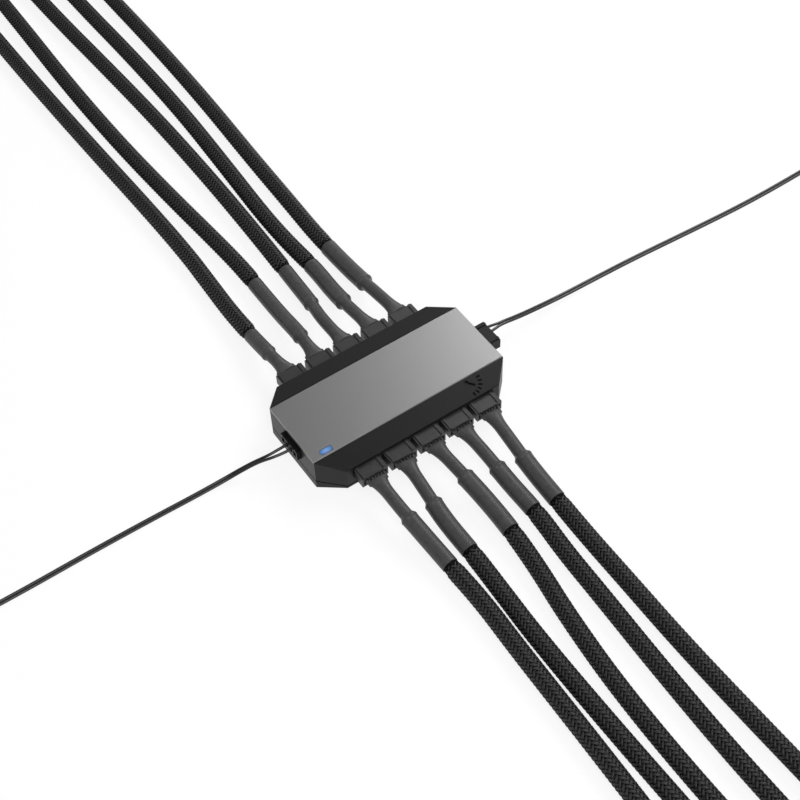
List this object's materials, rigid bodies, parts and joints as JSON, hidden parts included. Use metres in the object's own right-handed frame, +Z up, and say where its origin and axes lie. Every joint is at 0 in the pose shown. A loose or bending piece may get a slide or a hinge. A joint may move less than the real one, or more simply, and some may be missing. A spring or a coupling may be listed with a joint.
{
  "type": "pc fan controller hub",
  "caption": "Flat eight-sided fan controller hub with a grey deck plate, side ports with braided four-pin fan leads plugged in, and thin signal and power cords at its ends.",
  "frame": {"origin": "under the middle of the hub, on the surface that it rests on", "axes": "+X along the hub towards the power end, +Y towards the far row of ports, +Z up"},
  "size_m": [0.4629, 0.6823, 0.0156],
  "materials": {
    "casing": "fine satin texture",
    "plate": "grey anodised satin",
    "light": "clear blue",
    "board": "solder mask",
    "header": "moulded",
    "contact": "gold flash",
    "chip": "moulded epoxy",
    "can": "drawn can",
    "led": "clear",
    "screw": "black oxide",
    "pad": "foam tape",
    "connector": "moulded satin",
    "shrink": "shrunk polyolefin, satin",
    "braid": "braided monofilament",
    "wire": "smooth insulation"
  },
  "bodies": {
    "root": {"top_cover": "casing", "bottom_shell": "casing", "top_plate": "plate", "light_pipe": "light", "circuit_board": "board", "port_headers": "header", "header_pins": "contact", "driver_chip": "chip", "buffer_capacitors": "can", "status_led": "led", "case_screws": "screw", "mounting_pad": "pad", "fan_plug_1": "connector", "fan_plug_2": "connector", "fan_plug_3": "connector", "fan_plug_4": "connector", "fan_plug_5": "connector", "fan_plug_6": "connector", "fan_plug_7": "connector", "fan_plug_8": "connector", "fan_plug_9": "connector", "fan_plug_10": "connector", "lead_socket_1": "connector", "lead_socket_2": "connector", "lead_socket_3": "connector", "lead_socket_4": "connector", "lead_socket_5": "connector", "lead_socket_6": "connector", "lead_socket_7": "connector", "lead_socket_8": "connector", "lead_socket_9": "connector", "lead_socket_10": "connector", "signal_inlet_plug": "connector", "signal_plug": "connector", "power_inlet_plug": "connector", "power_plug": "connector", "heat_shrink_1": "shrink", "heat_shrink_2": "shrink", "heat_shrink_3": "shrink", "heat_shrink_4": "shrink", "heat_shrink_5": "shrink", "heat_shrink_6": "shrink", "heat_shrink_7": "shrink", "heat_shrink_8": "shrink", "heat_shrink_9": "shrink", "heat_shrink_10": "shrink", "fan_lead_1": "braid", "fan_lead_2": "braid", "fan_lead_3": "braid", "fan_lead_4": "braid", "fan_lead_5": "braid", "fan_lead_6": "braid", "fan_lead_7": "braid", "fan_lead_8": "braid", "fan_lead_9": "braid", "fan_lead_10": "braid", "signal_cord": "wire", "signal_coil": "wire", "power_cord": "wire", "power_coil": "wire"}
  },
  "joints": []
}
